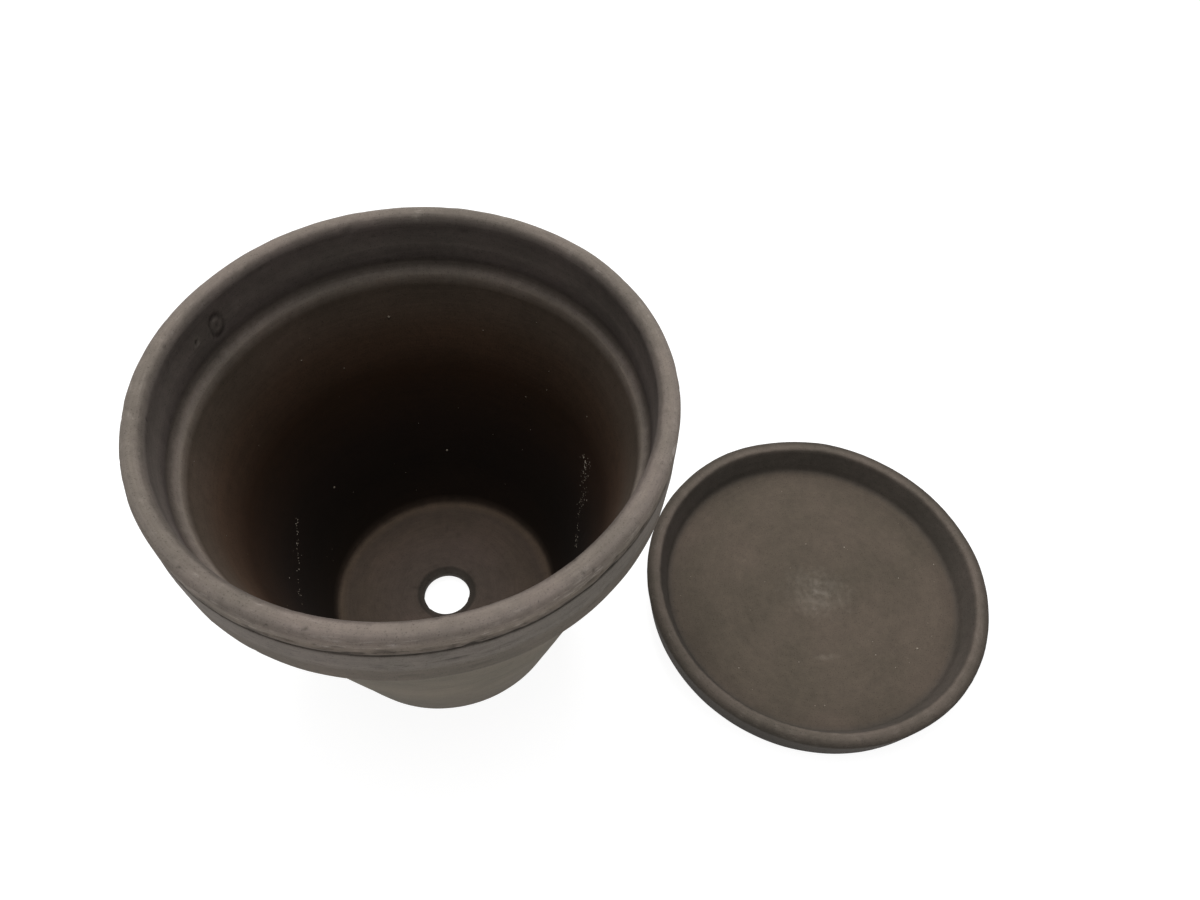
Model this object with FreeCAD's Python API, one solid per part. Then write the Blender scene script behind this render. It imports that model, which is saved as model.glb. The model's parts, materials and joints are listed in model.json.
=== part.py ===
"""Round clay flower pot with a thick collar, and the drip saucer that goes with it.

The pot stands upright with its foot on the plane Z = 0 and its axis on the Z axis.
The saucer stands on the same plane beside it. Millimetres, +Z up.
"""
import FreeCAD, Part
import math
import os

# Pot: driving sizes
RIM_R = 100.0                 # largest radius of the pot, at the lip and the collar
POT_H = 170.4                 # foot to the top of the lip
FLOOR_T = 9.0                 # thickness of the pot's floor
LIP_IN_R = 91.8               # radius of the mouth
LIP_H = 10.0                  # top of the lip to the groove under it
COLLAR_H = 32.9               # top of the lip to the lower edge of the collar
COLLAR_LOW_R = 99.2           # radius of the collar at its lower edge
COLLAR_BEND_H = 21.8          # top of the lip to the line where the collar turns inwards
COLLAR_INSIDE_H = 24.4        # top of the lip to the shoulder inside the collar
COLLAR_INSIDE_LOW_R = 90.8    # inner radius of the collar just above the shoulder
SHOULDER_R = 87.3             # inner radius where the shoulder meets the tapered wall
SHOULDER_DROP = 4.4           # height of the shoulder
BODY_TOP_R = 92.8             # outer radius of the body under the collar
FOOT_R = 56.8                 # outer radius of the foot, before its edge is rounded
FLOOR_R = 53.0                # inner radius of the floor
DRAIN_R = 11.2                # drain hole, at its narrowest
DRAIN_RING_R = 15.0           # outer radius of the sloping ring round the top of the hole
DRAIN_RING_FALL = 1.0         # the ring falls this much towards the hole
DRAIN_WALL_LOW = 5.0          # height where the hole starts to widen downwards
DRAIN_UNDER_R = 15.0          # radius of the hole in the plane of the foot
GROOVE_W = 1.5                # turned groove between the lip and the collar
GROOVE_DEPTH = 1.1

# Saucer: driving sizes
SAUCER_RIM_R = 85.8           # outer radius of the wall at the rim, before its edge is rounded
SAUCER_H = 20.0               # floor plane to the top of the rim
SAUCER_FOOT_R = 82.5          # outer radius of the foot, before its edge is rounded
SAUCER_MOUTH_R = 79.3         # inner radius at the top of the rim
SAUCER_FLOOR_R = 73.8         # inner radius of the floor
SAUCER_FLOOR_T = 6.5          # thickness of the saucer's floor
SAUCER_RIM_FALL = 1.0         # the rim's top falls this much from its inner to its outer edge
SAUCER_X = 184.5              # where the saucer stands, from the pot's axis
SAUCER_Y = 17.5

# Edge roundings
LIP_OUT_ROUND = 3.6
LIP_IN_ROUND = 4.4
COLLAR_LOW_ROUND = 1.2
SHOULDER_ROUND = 3.5
SHOULDER_ROOT_ROUND = 4.5
FOOT_ROUND = 3.0
FLOOR_ROUND = 2.5
DRAIN_ROUND = 0.6
SAUCER_RIM_OUT_ROUND = 1.8
SAUCER_RIM_IN_ROUND = 1.0
SAUCER_FLOOR_ROUND = 2.0
SAUCER_FOOT_ROUND = 3.0

EDGE_TOLERANCE = 0.01


def turned(outline):
    """Solid made by turning a closed outline of (radius, height) points about the Z axis."""
    points = [FreeCAD.Vector(r, 0, z) for r, z in outline]
    face = Part.Face(Part.makePolygon(points + points[:1]))
    return face.revolve(FreeCAD.Vector(0, 0, 0), FreeCAD.Vector(0, 0, 1), 360)


def circular_edges(solid, radius, height):
    """Edges of a turned solid that run round the Z axis at this radius and height."""
    found = []
    for edge in solid.Edges:
        if not isinstance(edge.Curve, Part.Circle):
            continue
        same_radius = abs(edge.Curve.Radius - radius) < EDGE_TOLERANCE
        same_height = abs(edge.Curve.Center.z - height) < EDGE_TOLERANCE
        if same_radius and same_height:
            found.append(edge)
    if not found:
        raise ValueError("no edge at radius %.2f, height %.2f" % (radius, height))
    return found


def rounded(solid, corners):
    """Round the circular edges listed as (radius, height, rounding)."""
    for radius, height, rounding in corners:
        solid = solid.makeFillet(rounding, circular_edges(solid, radius, height))
    return solid


def make_pot():
    """Lip, groove, collar, tapered wall, foot and floor in one fired piece."""
    crown = POT_H
    lip_low = crown - LIP_H
    groove_floor_r = RIM_R - GROOVE_DEPTH
    bend = crown - COLLAR_BEND_H
    collar_low = crown - COLLAR_H
    underside_drop = COLLAR_LOW_R - BODY_TOP_R
    shoulder_top = crown - COLLAR_INSIDE_H
    ring_low = FLOOR_T - DRAIN_RING_FALL
    outline = [
        (DRAIN_UNDER_R, 0),
        (FOOT_R, 0),
        (BODY_TOP_R, collar_low - underside_drop),
        (COLLAR_LOW_R, collar_low),
        (RIM_R, bend),
        (RIM_R, lip_low - GROOVE_W),
        (groove_floor_r, lip_low - GROOVE_W / 2),
        (RIM_R, lip_low),
        (RIM_R, crown),
        (LIP_IN_R, crown),
        (COLLAR_INSIDE_LOW_R, shoulder_top),
        (SHOULDER_R, shoulder_top - SHOULDER_DROP),
        (FLOOR_R, FLOOR_T),
        (DRAIN_RING_R, FLOOR_T),
        (DRAIN_R, ring_low),
        (DRAIN_R, DRAIN_WALL_LOW),
    ]
    return rounded(turned(outline), [
        (RIM_R, crown, LIP_OUT_ROUND),
        (LIP_IN_R, crown, LIP_IN_ROUND),
        (COLLAR_LOW_R, collar_low, COLLAR_LOW_ROUND),
        (COLLAR_INSIDE_LOW_R, shoulder_top, SHOULDER_ROOT_ROUND),
        (SHOULDER_R, shoulder_top - SHOULDER_DROP, SHOULDER_ROUND),
        (FOOT_R, 0, FOOT_ROUND),
        (FLOOR_R, FLOOR_T, FLOOR_ROUND),
        (DRAIN_R, ring_low, DRAIN_ROUND),
        (DRAIN_UNDER_R, 0, DRAIN_ROUND),
    ])


def make_saucer():
    """Flat floor with a low flared wall, standing beside the pot."""
    rim_outer_z = SAUCER_H - SAUCER_RIM_FALL
    outline = [
        (0, 0),
        (SAUCER_FOOT_R, 0),
        (SAUCER_RIM_R, rim_outer_z),
        (SAUCER_MOUTH_R, SAUCER_H),
        (SAUCER_FLOOR_R, SAUCER_FLOOR_T),
        (0, SAUCER_FLOOR_T),
    ]
    saucer = rounded(turned(outline), [
        (SAUCER_FOOT_R, 0, SAUCER_FOOT_ROUND),
        (SAUCER_RIM_R, rim_outer_z, SAUCER_RIM_OUT_ROUND),
        (SAUCER_MOUTH_R, SAUCER_H, SAUCER_RIM_IN_ROUND),
        (SAUCER_FLOOR_R, SAUCER_FLOOR_T, SAUCER_FLOOR_ROUND),
    ])
    saucer.translate(FreeCAD.Vector(SAUCER_X, SAUCER_Y, 0))
    return saucer


def main():
    os.makedirs("parts", exist_ok=True)
    for node, shape in (("pot", make_pot()), ("saucer", make_saucer())):
        box = shape.optimalBoundingBox()
        print("%s: volume %.1f cm3, box %.1f x %.1f x %.1f mm, valid %s" % (
            node, shape.Volume / 1000, box.XLength, box.YLength, box.ZLength, shape.isValid()))
        shape.exportStep("parts/%s.step" % node)


main()
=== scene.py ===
import json
import math
import random

import bmesh
import bpy
from mathutils import Matrix, Vector, kdtree, noise


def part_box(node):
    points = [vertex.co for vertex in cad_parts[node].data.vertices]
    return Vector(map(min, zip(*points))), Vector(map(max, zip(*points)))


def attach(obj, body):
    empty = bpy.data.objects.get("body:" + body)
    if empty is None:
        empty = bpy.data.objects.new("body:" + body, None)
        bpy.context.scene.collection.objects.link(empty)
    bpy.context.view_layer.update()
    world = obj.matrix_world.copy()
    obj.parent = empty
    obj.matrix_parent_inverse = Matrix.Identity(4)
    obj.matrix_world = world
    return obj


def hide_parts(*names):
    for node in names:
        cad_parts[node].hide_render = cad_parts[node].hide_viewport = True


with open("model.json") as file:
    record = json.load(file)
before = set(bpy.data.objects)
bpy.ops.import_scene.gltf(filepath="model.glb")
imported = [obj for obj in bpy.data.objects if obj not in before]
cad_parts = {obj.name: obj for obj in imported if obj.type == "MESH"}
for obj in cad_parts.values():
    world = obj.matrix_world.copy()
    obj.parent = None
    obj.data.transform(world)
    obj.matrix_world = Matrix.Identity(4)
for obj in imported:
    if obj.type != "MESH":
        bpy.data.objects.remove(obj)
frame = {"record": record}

MM = 0.001
FULL_TURN = 2 * math.pi
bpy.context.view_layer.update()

# ---------------------------------------------------------------- sizes, from the frame
POT_LOW, POT_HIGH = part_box("pot")
SAUCER_LOW, SAUCER_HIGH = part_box("saucer")
RIM_R = max(POT_HIGH - POT_LOW) / 2 / MM
POT_H = POT_HIGH.z / MM
SAUCER_H = SAUCER_HIGH.z / MM
SAUCER_AXIS = (SAUCER_LOW + SAUCER_HIGH) / 2 * Vector((1, 1, 0))
SAUCER_RIM_R = max(SAUCER_HIGH - SAUCER_LOW) / 2 / MM
MOUNTS = {mount["name"]: mount for mount in frame["record"]["mounts"]}
DRAIN_R = MOUNTS["drain_hole"]["dims"]["r_mm"]
FLOOR_Z = MOUNTS["pot_floor_inside"]["pos_m"][2] / MM
SAUCER_FLOOR_Z = MOUNTS["saucer_floor"]["pos_m"][2] / MM

# ---------------------------------------------------------------- sizes the frame doesn't state, in mm
GROOVE_Z = POT_H - 10.7
GROOVE_DEPTH = 1.1
COLLAR_R = RIM_R - 0.1
COLLAR_BEND_Z = POT_H - 21.8
COLLAR_LOW_Z = POT_H - 32.9
COLLAR_LOW_R = 99.2
COLLAR_MIDDLE_R = 95.0
UNDERCUT = 6.4
MOUTH_R = 91.8
SHOULDER_Z = POT_H - 24.4
SHOULDER_LOW_Z = SHOULDER_Z - 4.4
SHOULDER_R = 87.3
FOOT_R = 56.8
FLOOR_R = 53.0
DRAIN_RING_R = 15.0
DRAIN_RING_FALL = 1.0
HOLE_WALL_LOW_Z = MOUNTS["drain_hole"]["pos_m"][2] / MM
SAUCER_FOOT_R = 82.5
SAUCER_MOUTH_R = 79.3
SAUCER_FLOOR_R = 73.8

# ---------------------------------------------------------------- outlines: radius, height, rounding
POT_OUTLINE = [
    (DRAIN_RING_R, 0, 0.6),
    (FOOT_R, 0, 3.0),
    (COLLAR_LOW_R - UNDERCUT, COLLAR_LOW_Z - UNDERCUT, 1.0),
    (COLLAR_LOW_R, COLLAR_LOW_Z, 1.3),
    (COLLAR_R, COLLAR_BEND_Z, 3.0),
    (COLLAR_R, GROOVE_Z - 0.9, 0.5),
    (COLLAR_R - GROOVE_DEPTH, GROOVE_Z, 0.3),
    (RIM_R, GROOVE_Z + 0.7, 0.5),
    (RIM_R, POT_H, 3.6),
    (MOUTH_R, POT_H - 0.2, 4.5),
    (MOUTH_R - 1.0, SHOULDER_Z, 5.0),
    (SHOULDER_R, SHOULDER_LOW_Z, 3.5),
    (FLOOR_R, FLOOR_Z, 2.2),
    (DRAIN_RING_R, FLOOR_Z, 1.0),
    (DRAIN_R, FLOOR_Z - DRAIN_RING_FALL, 0.6),
    (DRAIN_R, HOLE_WALL_LOW_Z, 0),
]
SAUCER_OUTLINE = [
    (0, 0, 0),
    (SAUCER_FOOT_R, 0, 3.0),
    (SAUCER_RIM_R + 0.3, SAUCER_H - 1.0, 1.9),
    (SAUCER_MOUTH_R, SAUCER_H, 1.6),
    (SAUCER_FLOOR_R, SAUCER_FLOOR_Z, 2.4),
    (0, SAUCER_FLOOR_Z, 0),
]
POT_STEPS = 512
SAUCER_STEPS = 560
COARSE_RUN = 9.0

# ---------------------------------------------------------------- fired colour, with painted shade and highlights at the groove, lip, ledge, inside and floor: radius, height, colour
POT_TONES_AND_PAINTED_LIGHT = [
    (15.0, 0, "#5a5249"), (56.8, 0, "#5a5249"), (58.0, 6, "#5d554a"), (75.0, 66, "#665d50"),
    (91.5, 124, "#655c50"), (93.5, 132, "#5b534a"), (99.2, 138.2, "#655c53"), (99.5, 146.5, "#696057"),
    # painted shade: the groove (98.8, 159.7) is darkened for the shade in the crease
    (100, 149.6, "#766e67"), (100, 158.4, "#746c65"), (98.8, 159.7, "#39332d"), (100, 161.2, "#665c53"),
    (100, 163.5, "#73685d"), (99.8, 167.0, "#7b7067"), (98.2, 169.6, "#80766f"), (95.5, 170.4, "#7c726a"),
    # painted shade: the lip's inner edge (92.8, 168.8) is darkened where it turns down into the mouth
    (93.8, 170.0, "#7b716a"), (92.8, 168.8, "#655c56"), (91.8, 165.6, "#766c67"), (91.4, 156, "#837973"),
    # painted shade and highlight: darker at the ledge's root (90.6, 147) and just under the ledge (86.8,
    # 138.9), lighter on its rounded edge (88.4 to 87.0)
    (91.0, 149.5, "#6f6561"), (90.6, 147, "#574e48"), (89.6, 145, "#5a514b"), (88.4, 143.4, "#756b64"),
    (87.3, 141.4, "#81766d"), (87.0, 140.2, "#7c6f65"), (86.8, 138.9, "#564a40"), (84.0, 130, "#5d4f44"),
    # painted shade: the inside wall turns browner and darkens down towards the floor, deep in the pot
    (80.0, 114, "#503d2f"), (75.0, 94, "#332011"), (66.0, 60, "#20140c"), (60.0, 38, "#1b1109"),
    (54.5, 14, "#241910"),
    # painted shade and highlight: the floor is darkened in its corner (53.0, 10.5), lighter on a thin rim
    # (50.8, 9) and darker in a ring inside that (47.5, 9)
    (53.0, 10.5, "#44382f"), (50.8, 9, "#5a4c40"), (47.5, 9, "#4b4038"), (40.0, 9, "#50443b"),
    # painted shade and highlight: the bevel round the drain hole (14.5 to 11.9) is darkened, with a lighter
    # line at its inner edge (11.3, 7.4)
    (25.0, 9, "#544841"), (14.9, 9, "#534841"), (14.5, 8.9, "#3a332e"), (11.9, 8.1, "#423b35"),
    (11.3, 7.4, "#554e48"), (11.2, 5, "#5a544d"), (15.0, 0, "#5a5249"),
]
SAUCER_TONES_AND_PAINTED_LIGHT = [
    # painted shade: the outer wall (82.6 to 85.2) is darkened on the side that faces away from the lamps
    # overhead
    (0, 0, "#4f473e"), (79.0, 0, "#4c453c"), (82.6, 3, "#36302a"), (85.2, 16.3, "#3a332c"),
    (84.9, 18.6, "#4b443d"), (83.4, 19.3, "#544c45"), (81.8, 19.7, "#665d55"), (79.9, 19.5, "#6c625a"),
    # painted shade: the inner wall darkens into its corner with the floor (74.0, 7.2)
    (78.7, 17.5, "#59524c"), (75.8, 10.8, "#5a534d"), (74.0, 7.2, "#4e4741"), (71.0, 6.5, "#5a5047"),
    (60.0, 6.5, "#5f554b"), (0, 6.5, "#5f554b"),
]


def linear(hex_colour):
    """An sRGB hex colour as a linear RGBA colour."""
    channels = [int(hex_colour[i:i + 2], 16) / 255 for i in (1, 3, 5)]
    return [c / 12.92 if c <= 0.04045 else ((c + 0.055) / 1.055) ** 2.4 for c in channels] + [1.0]


def tone_and_painted_light(tones, radius, height, known):
    """The fired tone, with the table's painted shade and highlights, at the nearest place on the outline;
    known keeps the answers to 0.2 mm.
    """
    key = (round(radius * 5), round(height * 5))
    if key in known:
        return known[key]
    nearest = None
    for (r0, z0, start), (r1, z1, end) in zip(tones, tones[1:]):
        run = Vector((r1 - r0, z1 - z0))
        along = max(0.0, min(1.0, Vector((radius - r0, height - z0)).dot(run) / run.length_squared))
        gap = (Vector((r0, z0)) + run * along - Vector((radius, height))).length
        if nearest is None or gap < nearest[0]:
            nearest = (gap, [a + (b - a) * along for a, b in zip(linear(start), linear(end))])
    known[key] = nearest[1]
    return nearest[1]


def wire_outline(mesh, corners):
    """A closed flat outline in the XZ plane with its corners rounded, left as a bare wire."""
    verts = [mesh.verts.new((r * MM, 0, z * MM)) for r, z, _ in corners]
    mesh.faces.new(verts)
    for i, (vert, (_, _, rounding)) in enumerate(zip(verts, corners)):
        if not rounding:
            continue
        here = Vector(corners[i][:2])
        into = (here - Vector(corners[i - 1][:2])).normalized()
        out = (Vector(corners[(i + 1) % len(corners)][:2]) - here).normalized()
        turn = into.angle(out)
        bmesh.ops.bevel(mesh, geom=[vert], offset=rounding * math.tan(turn / 2) * MM, offset_type="OFFSET",
                        segments=max(2, round(rounding * turn / 0.8)), profile=0.5, affect="VERTICES",
                        material=-1, clamp_overlap=False)
    bmesh.ops.delete(mesh, geom=mesh.faces[:], context="FACES_ONLY")


def divide(mesh, spacing):
    """Cut the outline's straight runs coarsely, so a long one isn't judged by its middle, then finely."""
    cut_runs(mesh, lambda radius, height: COARSE_RUN)
    cut_runs(mesh, spacing)


def cut_runs(mesh, spacing):
    """Cut each edge into lengths of about spacing(radius, height) mm."""
    by_cuts = {}
    for edge in mesh.edges:
        middle = (edge.verts[0].co + edge.verts[1].co) / 2 / MM
        cuts = int(edge.calc_length() / MM / spacing(middle.x, middle.z))
        by_cuts.setdefault(cuts, []).append(edge)
    for cuts, edges in by_cuts.items():
        if cuts:
            bmesh.ops.subdivide_edges(mesh, edges=edges, cuts=cuts)


def turn_on_wheel(mesh, steps):
    """Spin what is left of the outline a full turn about the Z axis, and close its seam and poles."""
    on_axis = [e for e in mesh.edges if max(v.co.x for v in e.verts) < 1e-6]
    bmesh.ops.delete(mesh, geom=on_axis, context="EDGES")
    bmesh.ops.spin(mesh, geom=mesh.verts[:] + mesh.edges[:], cent=(0, 0, 0), axis=(0, 0, 1),
                   angle=FULL_TURN, steps=steps, use_merge=True)
    bmesh.ops.remove_doubles(mesh, verts=mesh.verts[:], dist=1e-6)
    bmesh.ops.recalc_face_normals(mesh, faces=mesh.faces[:])


# ---------------------------------------------------------------- what hand and wheel leave in the clay
def polar(co):
    """Radius in mm, angle in radians and height in mm of a place on the wheel."""
    return math.hypot(co.x, co.y) / MM, math.atan2(co.y, co.x), co.z / MM


def round_noise(angle, lobes, seed):
    """Smooth wander round the wheel, about -1 to 1, with no seam."""
    reach = lobes / 2
    return 2 * noise.noise(Vector((math.cos(angle) * reach, math.sin(angle) * reach, seed)))


def dent(mesh, tree, centre, radius, depth, layer=None, amount=1.0, ragged=0.35):
    """Push a soft-edged hollow (or, with a negative depth, a pimple) into the clay round a point."""
    for co, index, distance in tree.find_range(centre, radius * 1.4):
        vert = mesh.verts[index]
        edge = radius * (1 + ragged * noise.noise(co * (700 / (radius / MM))))
        share = max(0.0, 1 - (distance / edge) ** 2)
        vert.co = vert.co - vert.normal * depth * share
        if layer:
            vert[layer] = min(1.0, vert[layer] + amount * share)


def points_of(mesh):
    """A search tree of the mesh's points, with its normals brought up to date."""
    tree = kdtree.KDTree(len(mesh.verts))
    mesh.verts.ensure_lookup_table()
    mesh.normal_update()
    for vert in mesh.verts:
        tree.insert(vert.co, vert.index)
    tree.balance()
    return tree


def finish_piece(name, mesh, axis):
    """Make the bmesh a smooth-shaded object with its place in its mesh."""
    bmesh.ops.translate(mesh, verts=mesh.verts[:], vec=axis)
    for face in mesh.faces:
        face.smooth = True
    data = bpy.data.meshes.new(name)
    mesh.to_mesh(data)
    mesh.free()
    piece = bpy.data.objects.new(name, data)
    bpy.context.scene.collection.objects.link(piece)
    return piece


def scrape(mesh, tree, angle, height, length, width, depth, layer, amount, radius=RIM_R):
    """A shallow nick that runs round the wheel: a long ellipse pushed into the skin."""
    centre = Vector((radius * math.cos(angle), radius * math.sin(angle), height)) * MM
    for co, index, _ in tree.find_range(centre, length / 2 * MM):
        vert = mesh.verts[index]
        _, here_angle, here_z = polar(co)
        along = (here_angle - angle + math.pi) % FULL_TURN - math.pi
        reach = math.hypot(along * radius / (length / 2), (here_z - height) / (width / 2))
        share = max(0.0, 1 - reach ** 2)
        vert.co = vert.co - vert.normal * depth * MM * share
        vert[layer] = min(1.0, vert[layer] + amount * share)


def set_on_ground(mesh):
    """Keep the foot flat on the ground plane, with the faces outwards."""
    for vert in mesh.verts:
        vert.co.z = max(vert.co.z, 0.0)
    bmesh.ops.recalc_face_normals(mesh, faces=mesh.faces[:])


def wall_radius(height):
    """Inner radius of the pot's tapered wall at a height."""
    return FLOOR_R + (SHOULDER_R - FLOOR_R) * (height - FLOOR_Z) / (SHOULDER_LOW_Z - FLOOR_Z)


def press_stamp(mesh, tree, soil_and_hollow_shade):
    """A plain oval ring with a dot in it, pressed by hand into the inside of the collar."""
    angle, height, radius = math.radians(157), 155.5, 91.2
    half_width, half_height, line, dot_size = 3.4, 5.0, 0.3, 0.34
    centre = Vector((radius * math.cos(angle), radius * math.sin(angle), height)) * MM
    for co, index, _ in tree.find_range(centre, 9 * MM):
        vert = mesh.verts[index]
        here_r, here_angle, here_z = polar(co)
        if here_r > COLLAR_MIDDLE_R:
            continue
        reach = math.hypot((here_angle - angle) * radius / half_width, (here_z - height) / half_height)
        groove = max(0.0, 1 - abs(reach - 1) / line)
        dot = max(0.0, 1 - reach / dot_size)
        vert.co = vert.co - vert.normal * MM * (0.5 * groove + 0.45 * dot)
        # the stamp's groove and dot are darkened: painted shade in the pressed lines, with soil
        vert[soil_and_hollow_shade] = min(1.0, vert[soil_and_hollow_shade] + 0.9 * groove + 0.9 * dot)


def pot_spacing(radius, height):
    """How finely the pot's outline is cut, in mm: finest at the lip and its groove."""
    if height > COLLAR_LOW_Z - 1 and radius > 98:
        return 1.3 if height < GROOVE_Z - 2 else 0.9
    if height > POT_H - 6:
        return 0.9
    if height > SHOULDER_Z:
        return 1.1
    if height > SHOULDER_Z - 8 and radius < 93:
        return 1.8
    if height > FLOOR_Z + 3:
        return 5.0
    if height > 4:
        return 1.2 if radius < 17 else 4.0
    return 12.0


def make_pot():
    """The pot in its turned outline, coloured by the kiln with painted shade and highlights, and marked by
    hand, wheel and use.
    """
    mesh = bmesh.new()
    wire_outline(mesh, POT_OUTLINE)
    divide(mesh, pot_spacing)
    turn_on_wheel(mesh, POT_STEPS)
    random.seed(11)
    layers = mesh.verts.layers
    # the first layer darkens dents, pits, nicks and the stamp's lines: soil, with painted shade in the
    # hollows
    soil_and_hollow_shade, wear, chalk, chipped = [layers.float.new(name) for name in ("soil_and_hollow_shade", "wear", "chalk", "chipped")]
    clay = layers.float_color.new("clay_tone_and_painted_light")
    known = {}
    mesh.normal_update()
    for vert in mesh.verts:
        radius, angle, height = polar(vert.co)
        ragged = noise.noise(vert.co / (3.5 * MM)) + 0.6 * noise.noise(vert.co / (1.4 * MM))
        shift = 0.55 * ragged if height > SHOULDER_Z else 0.8 * ragged
        # the tone layer holds the table's fired tone with its painted shade and highlights
        vert[clay] = tone_and_painted_light(POT_TONES_AND_PAINTED_LIGHT, radius + shift * (height > POT_H - 2), height + shift, known)
        warp_pot(vert, radius, angle, height)
        lip_edge = max(0.0, 1 - abs(height - (POT_H - 3.5)) / 4.0) * (radius > 94)
        smear = noise.noise(Vector((math.cos(angle) * 9, math.sin(angle) * 9, height / 3)))
        fine_smear = noise.noise(vert.co / (2.2 * MM))
        vert[wear] = lip_edge * max(0.12, 0.4 + smear + 0.7 * fine_smear)
        if radius > 97:
            above_groove = max(0.0, 1 - abs(height - GROOVE_Z - 1.8) / 2.6)
            below_groove = 0.55 * max(0.0, 1 - abs(height - GROOVE_Z + 8) / 9)
            vert[chipped] = max(above_groove, below_groove)
    tree = points_of(mesh)
    knock_pot(mesh, tree, soil_and_hollow_shade, wear)
    press_stamp(mesh, tree, soil_and_hollow_shade)
    pit_angle = math.radians(164.5)
    pit = Vector((91.4 * math.cos(pit_angle), 91.4 * math.sin(pit_angle), 157.5)) * MM
    dent(mesh, tree, pit, 2.4 * MM, -0.25 * MM, chalk, 0.8, 0.1)
    # the pit's middle is darkened: soil, with painted shade in the hollow
    dent(mesh, tree, pit, 1.3 * MM, 0.9 * MM, soil_and_hollow_shade, 1.0, 0.1)
    set_on_ground(mesh)
    piece = finish_piece("fired_pot", mesh, Vector((0, 0, 0)))
    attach(piece, "pot")
    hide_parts("pot")
    return piece


def warp_pot(vert, radius, angle, height):
    """Move a point as drying and turning do: an uneven rim, a wavy lip and faint marks round the wheel."""
    out = Vector((math.cos(angle), math.sin(angle), 0))
    vert.co += out * 0.3 * MM * round_noise(angle, 3, 0.3) * (height / POT_H)
    if height > GROOVE_Z - 12:
        lift = 0.22 * round_noise(angle, 5, 7.7) + 0.08 * round_noise(angle, 22, 3.1)
        vert.co.z += lift * MM * min(1, (height - GROOVE_Z + 12) / 12)
    turned = noise.noise(Vector((math.cos(angle) * 1.2, math.sin(angle) * 1.2, (height - radius) / 1.9)))
    hand = noise.noise(vert.co / (14 * MM))
    mark_depth = 0.02 if radius < 90 and height > 3 else 0.035
    vert.co += vert.normal * MM * (mark_depth * turned + 0.1 * hand)


def knock_pot(mesh, tree, soil_and_hollow_shade, wear):
    """Dents, pits, nicks by the groove, rubbed lines on the lip and scrapes on the collar."""
    lip = [v.index for v in mesh.verts if v.co.z > (POT_H - 9) * MM]
    skin = [v.index for v in mesh.verts if v.co.z > 4 * MM]
    for _ in range(46):
        centre = mesh.verts[random.choice(lip)].co.copy()
        size = random.uniform(1.2, 3.2)
        dent(mesh, tree, centre, size * MM, size * random.uniform(0.04, 0.1) * MM, wear, 0.35, 0.8)
    # the lip's pits, the skin's dents and the scrapes by the groove and on the collar are darkened: soil,
    # with painted shade in the hollows
    for _ in range(36):
        centre = mesh.verts[random.choice(lip)].co.copy()
        dent(mesh, tree, centre, random.uniform(0.8, 1.3) * MM, random.uniform(0.15, 0.3) * MM, soil_and_hollow_shade,
             random.uniform(0.2, 0.8))
    for _ in range(240):
        centre = mesh.verts[random.choice(skin)].co.copy()
        dent(mesh, tree, centre, random.uniform(0.9, 1.6) * MM, random.uniform(-0.18, 0.25) * MM, soil_and_hollow_shade, 0.25)
    for _ in range(130):
        angle = random.uniform(-math.pi, math.pi)
        height = GROOVE_Z + 1.0 + abs(random.gauss(0, 1.8))
        scrape(mesh, tree, angle, height, random.uniform(2.5, 9.0), random.uniform(1.1, 2.0), 0.28, soil_and_hollow_shade,
               random.uniform(0.4, 1.0))
    for _ in range(170):
        angle = random.uniform(-math.pi, math.pi)
        height = POT_H - random.uniform(1.5, 8.0)
        scrape(mesh, tree, angle, height, random.uniform(3, 12), random.uniform(1.0, 2.2), 0.1, wear,
               random.uniform(0.2, 0.7))
    for _ in range(60):
        angle = random.uniform(-math.pi, math.pi)
        height = random.uniform(COLLAR_LOW_Z + 2, GROOVE_Z - 2)
        scrape(mesh, tree, angle, height, random.uniform(4, 15), random.uniform(1.6, 2.6), 0.12, soil_and_hollow_shade, 0.45)


def saucer_spacing(radius, height):
    """How finely the saucer's outline is cut, in mm: finest at the rim."""
    if height > SAUCER_FLOOR_Z + 2:
        return 1.0 if height > SAUCER_H - 3 else 1.8
    return 1.6 if height > 3 else 10.0


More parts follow.
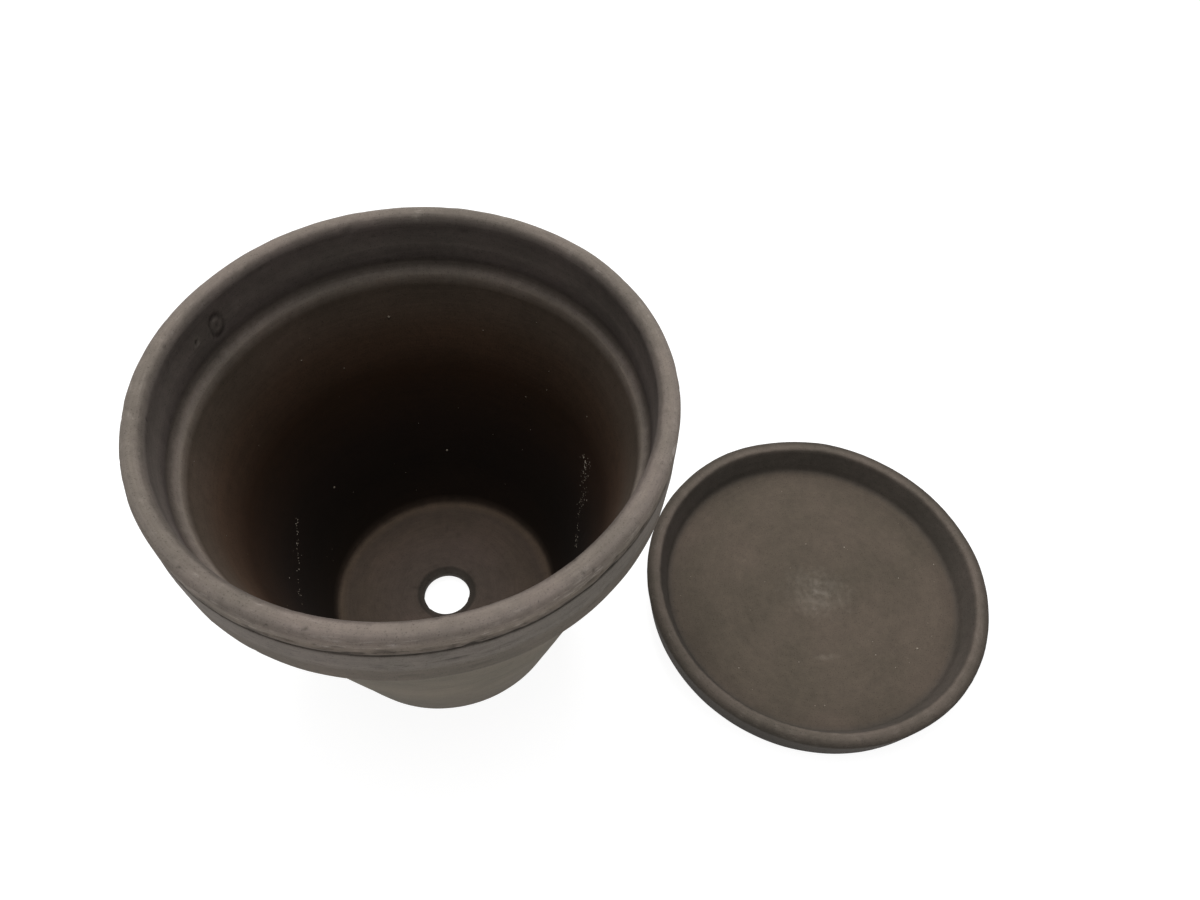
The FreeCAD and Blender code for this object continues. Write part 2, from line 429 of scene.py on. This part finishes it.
def make_saucer():
    """The saucer in its turned outline, with a wavy rim and a rubbed middle."""
    mesh = bmesh.new()
    wire_outline(mesh, SAUCER_OUTLINE)
    divide(mesh, saucer_spacing)
    turn_on_wheel(mesh, SAUCER_STEPS)
    random.seed(5)
    layers = mesh.verts.layers
    # the first layer darkens the dents: soil, with painted shade in the hollows
    soil_and_hollow_shade, wear, chalk = [layers.float.new(name) for name in ("soil_and_hollow_shade", "wear", "chalk")]
    clay = layers.float_color.new("clay_tone_and_painted_light")
    known = {}
    mesh.normal_update()
    for vert in mesh.verts:
        radius, angle, height = polar(vert.co)
        ragged = noise.noise(vert.co / (3.0 * MM)) + 0.6 * noise.noise(vert.co / (1.3 * MM))
        # the tone layer holds the table's fired tone with its painted shade
        vert[clay] = tone_and_painted_light(SAUCER_TONES_AND_PAINTED_LIGHT, radius + 0.4 * ragged, height + 0.2 * ragged, known)
        if height > 3 and radius < 60:
            vert[chalk] = rubbed_middle(vert.co, radius, angle, ragged)
        high = max(0.0, height - SAUCER_FLOOR_Z) / (SAUCER_H - SAUCER_FLOOR_Z)
        warp_saucer(vert, radius, angle, height, high)
        vert[wear] = 0.2 * high ** 3 * max(0.0, 0.3 + noise.noise(vert.co / (5 * MM)))
    tree = points_of(mesh)
    skin = [v.index for v in mesh.verts if v.co.z > 4 * MM]
    # small dents and pimples, darkened a little: soil, with painted shade in the hollows
    for _ in range(90):
        centre = mesh.verts[random.choice(skin)].co.copy()
        dent(mesh, tree, centre, random.uniform(0.9, 1.6) * MM, random.uniform(-0.16, 0.14) * MM, soil_and_hollow_shade,
             random.uniform(0, 0.25))
    set_on_ground(mesh)
    piece = finish_piece("fired_saucer", mesh, SAUCER_AXIS)
    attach(piece, "saucer")
    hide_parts("saucer")
    return piece


def rubbed_middle(co, radius, angle, ragged):
    """How pale a foot has rubbed the saucer's floor: curved strokes in a soft patch, and one short arc."""
    x, y = co.x / MM, co.y / MM
    from_rub, rub_angle = math.hypot(x - 4, y - 3), math.atan2(y - 3, x - 4)
    strokes = noise.noise(Vector((math.cos(rub_angle) * 1.8, math.sin(rub_angle) * 1.8, from_rub / 1.7)))
    smeared = math.hypot((x - 2.5) / 20, (y + 1.5) / 16) + 0.3 * ragged
    rubbed = max(0.0, 1 - smeared) * max(0.0, 0.28 + 0.36 * strokes)
    off_arc, off_arc_middle = abs(radius - 36.8) / 1.3, abs(math.degrees(angle) + 83) / 13
    on_arc = max(0.0, 1 - off_arc) * max(0.0, 1 - off_arc_middle)
    return min(1.0, rubbed + 0.5 * on_arc * (0.6 + ragged))


def warp_saucer(vert, radius, angle, height, high):
    """Move a point as drying and turning do; high is 0 at the floor and 1 at the rim's top."""
    out = Vector((math.cos(angle), math.sin(angle), 0))
    inner = 1 if radius < 81.5 else 0.35
    wave = 0.3 * round_noise(angle, 4, 1.9) + inner * 0.12 * round_noise(angle, 60, 5.2)
    vert.co += out * MM * wave * high ** 2
    vert.co.z += MM * high ** 2 * (0.25 * round_noise(angle, 6, 8.8) + 0.05 * round_noise(angle, 50, 2.4))
    turned = noise.noise(Vector((math.cos(angle) * 0.9, math.sin(angle) * 0.9, (height - radius) / 2.4)))
    hand = noise.noise(vert.co / (12 * MM))
    vert.co += vert.normal * MM * (0.022 * turned + 0.1 * hand)


def add_fleck(mesh, place, lean, size):
    """One flat crumb of dried lime, half sunk in the skin it sits on."""
    squash = Matrix.Diagonal((size, size * random.uniform(0.6, 1.0), size * 0.45, 1))
    face_out = lean.to_track_quat("Z", "Y").to_matrix().to_4x4()
    spin = Matrix.Rotation(random.uniform(0, math.pi), 4, "Z")
    stance = Matrix.Translation(place) @ face_out @ spin @ squash
    bmesh.ops.create_icosphere(mesh, subdivisions=1, radius=MM, matrix=stance)


def on_wall(degrees, height):
    """A place on the inside of the tapered wall, and the way its skin faces."""
    angle = math.radians(degrees)
    out = Vector((math.cos(angle), math.sin(angle), 0))
    return (out * wall_radius(height) + Vector((0, 0, height))) * MM, -out + Vector((0, 0, 0.26))


def make_pot_flecks():
    """Lime left by hard water: a trail on one side, a thin dotted line opposite, and a few loose crumbs."""
    mesh = bmesh.new()
    random.seed(23)
    trails = (
        ([(26.5, 86), (24.8, 82), (21.5, 74), (18.5, 69), (15.5, 62), (11.0, 56), (7.5, 51)],
         260, 1.7, 0.6),
        ([(174.7, 60), (177.0, 57), (184.0, 52.5), (190.0, 50)], 26, 0.5, 0.42),
        ([(190.0, 50), (200.0, 50.5), (211.0, 52)], 14, 0.7, 0.38),
    )
    for path, count, spread, largest in trails:
        for _ in range(count):
            at = random.uniform(0, len(path) - 1.001)
            step = int(at)
            a, b = path[step], path[step + 1]
            share = at - step
            degrees = a[0] + (b[0] - a[0]) * share + random.gauss(0, spread)
            height = a[1] + (b[1] - a[1]) * share + random.gauss(0, spread)
            add_fleck(mesh, *on_wall(degrees, height), random.uniform(0.14, largest))
    for degrees, height, size in ((95.7, 44, 0.75), (150.9, 50, 0.7), (109.8, 122.5, 0.7), (128, 104, 0.4),
                                  (62, 88, 0.4), (80, 116, 0.35), (140, 118, 0.4), (34, 104, 0.4)):
        add_fleck(mesh, *on_wall(degrees, height), size)
    for _ in range(60):
        place, lean = on_wall(random.uniform(-180, 180), random.uniform(20, 136))
        add_fleck(mesh, place, lean, random.uniform(0.12, 0.28))
    piece = finish_piece("lime_flecks_in_pot", mesh, Vector((0, 0, 0)))
    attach(piece, "pot")
    return piece


def make_saucer_flecks():
    """A few crumbs of lime dried onto the saucer's floor."""
    mesh = bmesh.new()
    random.seed(31)
    up = Vector((0, 0, 1))
    add_fleck(mesh, Vector((50.0, -28.6, SAUCER_FLOOR_Z)) * MM, up, 1.0)
    for _ in range(34):
        angle, radius = random.uniform(-math.pi, math.pi), 70 * math.sqrt(random.random())
        place = Vector((radius * math.cos(angle), radius * math.sin(angle), SAUCER_FLOOR_Z)) * MM
        add_fleck(mesh, place, up, random.uniform(0.16, 0.4))
    piece = finish_piece("lime_flecks_in_saucer", mesh, SAUCER_AXIS)
    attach(piece, "saucer")
    return piece


# ---------------------------------------------------------------- materials
def add(tree, kind, inputs=None, stops=None, **settings):
    """Add a node: settings on the node, ramp stops, then a value or a link for each named input."""
    made = tree.nodes.new(kind)
    for name, value in settings.items():
        setattr(made, name, value)
    if stops:
        ramp = made.color_ramp
        while len(ramp.elements) < len(stops):
            ramp.elements.new(0.5)
        for element, (place, colour) in zip(ramp.elements, stops):
            element.position = place
            element.color = linear(colour) if isinstance(colour, str) else (colour, colour, colour, 1)
    for name, value in (inputs or {}).items():
        socket = made.inputs[name]
        if isinstance(value, bpy.types.NodeSocket):
            tree.links.new(value, socket)
        else:
            socket.default_value = value
    return made


def wheel_marks(tree, centred, width_mm, turns, detail, roughness):
    """Noise stretched round the wheel, so that it runs in rings on floors and walls alike."""
    flat = add(tree, "ShaderNodeVectorMath", {
        0: centred, 1: (1, 1, 0)}, operation="MULTIPLY").outputs["Vector"]
    radius = add(tree, "ShaderNodeVectorMath", {0: flat}, operation="LENGTH").outputs["Value"]
    way = add(tree, "ShaderNodeVectorMath", {0: flat}, operation="NORMALIZE").outputs["Vector"]
    height = add(tree, "ShaderNodeSeparateXYZ", {"Vector": centred}).outputs["Z"]
    per_mm = 1 / (width_mm * MM)
    fine_z = add(tree, "ShaderNodeMath", {0: height, 1: per_mm}, operation="MULTIPLY").outputs[0]
    fine_r = add(tree, "ShaderNodeMath", {0: radius, 1: per_mm}, operation="MULTIPLY").outputs[0]
    spread = add(tree, "ShaderNodeVectorMath", {0: way, "Scale": turns}, operation="SCALE").outputs["Vector"]
    lifted = add(tree, "ShaderNodeCombineXYZ", {"Z": fine_z}).outputs[0]
    rings = add(tree, "ShaderNodeVectorMath", {0: spread, 1: lifted}, operation="ADD").outputs["Vector"]
    return add(tree, "ShaderNodeTexNoise", {
        "Vector": rings, "W": fine_r, "Scale": 1.0, "Detail": detail, "Roughness": roughness},
        noise_dimensions="4D").outputs["Fac"]


def fired_clay(name, axis, streak_share, ring_share):
    """Unglazed dark clay, pressed and turned: dry and matte, faintly streaked round the wheel, with pale
    scuffs and dark pits where the hand and the stack have touched it, the pits darkened with soil and painted
    shade; the tone attribute adds painted shade and highlights."""
    material = bpy.data.materials.new(name)
    material.use_nodes = True
    tree = material.node_tree
    shader = tree.nodes["Principled BSDF"]
    place = add(tree, "ShaderNodeTexCoord").outputs["Object"]
    centred = add(tree, "ShaderNodeMapping", {"Vector": place, "Location": -axis}).outputs["Vector"]
    streaks = wheel_marks(tree, centred, 0.8, 4.0, 4.0, 0.6)
    wide_rings = wheel_marks(tree, centred, 4.5, 1.6, 2.0, 0.5)
    short_lines = wheel_marks(tree, centred, 0.75, 18.0, 3.0, 0.6)
    clouds, mottle, grain = [
        add(tree, "ShaderNodeTexNoise", {
            "Vector": centred, "Scale": 1 / (size_mm * MM), "Detail": detail,
            "Roughness": rough}).outputs["Fac"]
        for size_mm, detail, rough in ((40, 3.0, 0.55), (4, 5.0, 0.65), (0.6, 2.0, 0.7))]
    marks = {name: add(tree, "ShaderNodeAttribute", attribute_name=name).outputs["Fac"]
             for name in ("wear", "soil_and_hollow_shade", "chalk", "chipped")}

    # Body colour: the kiln's tone with the outline table's painted shade and highlights, a little lighter and
    # darker from place to place
    shares = ((clouds, 0.3), (mottle, 0.26), (streaks, streak_share), (wide_rings, ring_share), (grain, 0.1))
    tone = 0.5 * (1 - sum(share for _, share in shares))
    for field, share in shares:
        tone = add(tree, "ShaderNodeMath", {0: field, 1: share, 2: tone}, operation="MULTIPLY_ADD").outputs[0]
    strength = add(tree, "ShaderNodeMapRange", {
        "Value": tone, "From Min": 0.36, "From Max": 0.64, "To Min": 0.72, "To Max": 1.28}).outputs[0]
    # this attribute carries the fired tone with painted shade and highlights
    clay = add(tree, "ShaderNodeAttribute", attribute_name="clay_tone_and_painted_light").outputs["Color"]
    colour = add(tree, "ShaderNodeVectorMath", {
        0: clay, "Scale": strength}, operation="SCALE").outputs["Vector"]
    warm = add(tree, "ShaderNodeMapRange", {
        "Value": clouds, "From Min": 0.4, "From Max": 0.65, "To Min": 0.0, "To Max": 1.0}).outputs[0]
    tint = add(tree, "ShaderNodeMix", {
        "Factor": warm, 6: (0.98, 1.0, 0.97, 1), 7: (1.01, 1.0, 0.99, 1)}, data_type="RGBA").outputs[2]
    colour = add(tree, "ShaderNodeVectorMath", {0: colour, 1: tint}, operation="MULTIPLY").outputs["Vector"]

    # Marks over it, each a share of one more colour: scuffs, lime bloom, soil with painted shade in the
    # hollows, then chips by the groove
    lines = add(tree, "ShaderNodeMapRange", {
        "Value": short_lines, "From Min": 0.5, "From Max": 0.38, "To Min": 0.05, "To Max": 0.9}).outputs[0]
    patches = add(tree, "ShaderNodeMapRange", {
        "Value": mottle, "From Min": 0.42, "From Max": 0.56, "To Min": 0.3, "To Max": 1.0}).outputs[0]
    broken = add(tree, "ShaderNodeMath", {0: patches, 1: lines}, operation="MULTIPLY").outputs[0]
    nicks = add(tree, "ShaderNodeMapRange", {
        "Value": short_lines, "From Min": 0.57, "From Max": 0.66, "To Min": 0.0, "To Max": 0.85}).outputs[0]
    for mark, field, stain in (
        ("wear", broken, "#aba29a"), ("chalk", mottle, "#b5aca0"), ("soil_and_hollow_shade", 0.62, "#241e19"),
        ("chipped", nicks, "#2b2520"),
    ):
        share = add(tree, "ShaderNodeMath", {0: marks[mark], 1: field}, operation="MULTIPLY",
                    use_clamp=True).outputs[0]
        colour = add(tree, "ShaderNodeMix", {
            "Factor": share, 6: colour, 7: linear(stain)}, data_type="RGBA").outputs[2]
    pores = add(tree, "ShaderNodeMapRange", {
        "Value": grain, "From Min": 0.3, "From Max": 0.4, "To Min": 0.6, "To Max": 1.0}).outputs[0]
    colour = add(tree, "ShaderNodeVectorMath", {
        0: colour, "Scale": pores}, operation="SCALE").outputs["Vector"]
    tree.links.new(colour, shader.inputs["Base Color"])

    # Dry, matte skin with the turning marks and grain just felt
    rough = add(tree, "ShaderNodeMapRange", {"Value": mottle, "To Min": 0.82, "To Max": 0.98}).outputs[0]
    tree.links.new(rough, shader.inputs["Roughness"])
    shader.inputs["IOR"].default_value = 1.5
    shader.inputs["Specular IOR Level"].default_value = 0.3
    relief = add(tree, "ShaderNodeMath", {0: streaks, 1: 0.6}, operation="MULTIPLY").outputs[0]
    relief = add(tree, "ShaderNodeMath", {0: grain, 1: 0.5, 2: relief}, operation="MULTIPLY_ADD").outputs[0]
    bump = add(tree, "ShaderNodeBump", {"Height": relief, "Strength": 0.6, "Distance": 0.2 * MM}).outputs[0]
    tree.links.new(bump, shader.inputs["Normal"])
    return material


def dried_lime():
    """Hard-water lime, dried to a crumb: chalky, off-white and dull against the dark clay."""
    material = bpy.data.materials.new("dried_lime_crust")
    material.use_nodes = True
    tree = material.node_tree
    shader = tree.nodes["Principled BSDF"]
    place = add(tree, "ShaderNodeTexCoord").outputs["Object"]
    patchy = add(tree, "ShaderNodeTexNoise", {
        "Vector": place, "Scale": 1 / (1.6 * MM), "Detail": 3.0}).outputs["Fac"]
    colour = add(tree, "ShaderNodeValToRGB", {"Fac": patchy}, stops=[
        (0.35, "#6f6457"), (0.5, "#9a9082"), (0.65, "#c4bbae")]).outputs["Color"]
    tree.links.new(colour, shader.inputs["Base Color"])
    shader.inputs["Roughness"].default_value = 0.95
    shader.inputs["Specular IOR Level"].default_value = 0.2
    return material


# ---------------------------------------------------------------- studio
def make_floor():
    """A white light table, a hair under the pieces so that no two faces lie in one plane."""
    mesh = bmesh.new()
    just_below = Matrix.Translation((0, 0, -0.2 * MM))
    bmesh.ops.create_grid(mesh, x_segments=1, y_segments=1, size=3.0, matrix=just_below)
    data = bpy.data.meshes.new("studio_floor")
    mesh.to_mesh(data)
    mesh.free()
    floor = bpy.data.objects.new("studio_floor", data)
    bpy.context.scene.collection.objects.link(floor)
    paper = bpy.data.materials.new("white_light_table")
    paper.use_nodes = True
    shader = paper.node_tree.nodes["Principled BSDF"]
    shader.inputs["Base Color"].default_value = linear("#959595")
    shader.inputs["Roughness"].default_value = 0.9
    shader.inputs["Emission Color"].default_value = linear("#ffffff")
    shader.inputs["Emission Strength"].default_value = 0.92
    data.materials.append(paper)


def make_light():
    """Soft light from straight above and from behind, with a little light from all round."""
    world = bpy.data.worlds.new("studio_air")
    bpy.context.scene.world = world
    world.use_nodes = True
    background = world.node_tree.nodes["Background"]
    background.inputs["Color"].default_value = linear("#f7f8fa")
    background.inputs["Strength"].default_value = 0.12
    aim = Vector((0.05, 0, 0))
    for name, place, size, power in (
        ("overhead_softbox", (0.0, 0.0, 1.6), 1.2, 10.5),
        ("rear_softbox", (-0.05, 0.8, 1.386), 0.9, 13.5),
    ):
        data = bpy.data.lights.new(name, "AREA")
        data.shape = "DISK"
        data.size = size
        data.energy = power
        lamp = bpy.data.objects.new(name, data)
        lamp.location = place
        lamp.rotation_euler = (aim - Vector(place)).to_track_quat("-Z", "Y").to_euler()
        bpy.context.scene.collection.objects.link(lamp)


def make_camera():
    """Looks down into the pot's mouth from the front right, with a slight lean."""
    down, lean = math.radians(54.28), math.radians(4.13)
    data = bpy.data.cameras.new("camera")
    data.sensor_width = 36.0
    data.lens = 28.8
    data.clip_start = 0.01
    camera = bpy.data.objects.new("camera", data)
    turn = Matrix.Rotation(math.pi / 2 - down, 4, "X") @ Matrix.Rotation(lean, 4, "Z")
    camera.matrix_world = Matrix.Translation((0.0712, -0.2178, 0.4425)) @ turn
    bpy.context.scene.collection.objects.link(camera)
    bpy.context.scene.camera = camera


make_camera()
make_light()
make_floor()
make_pot().data.materials.append(fired_clay("unglazed_turned_clay", Vector((0, 0, 0)), 0.2, 0.14))
make_saucer().data.materials.append(fired_clay("unglazed_pressed_clay", SAUCER_AXIS, 0.09, 0.12))
lime = dried_lime()
make_pot_flecks().data.materials.append(lime)
make_saucer_flecks().data.materials.append(lime)
bpy.context.scene.view_settings.view_transform = "Standard"
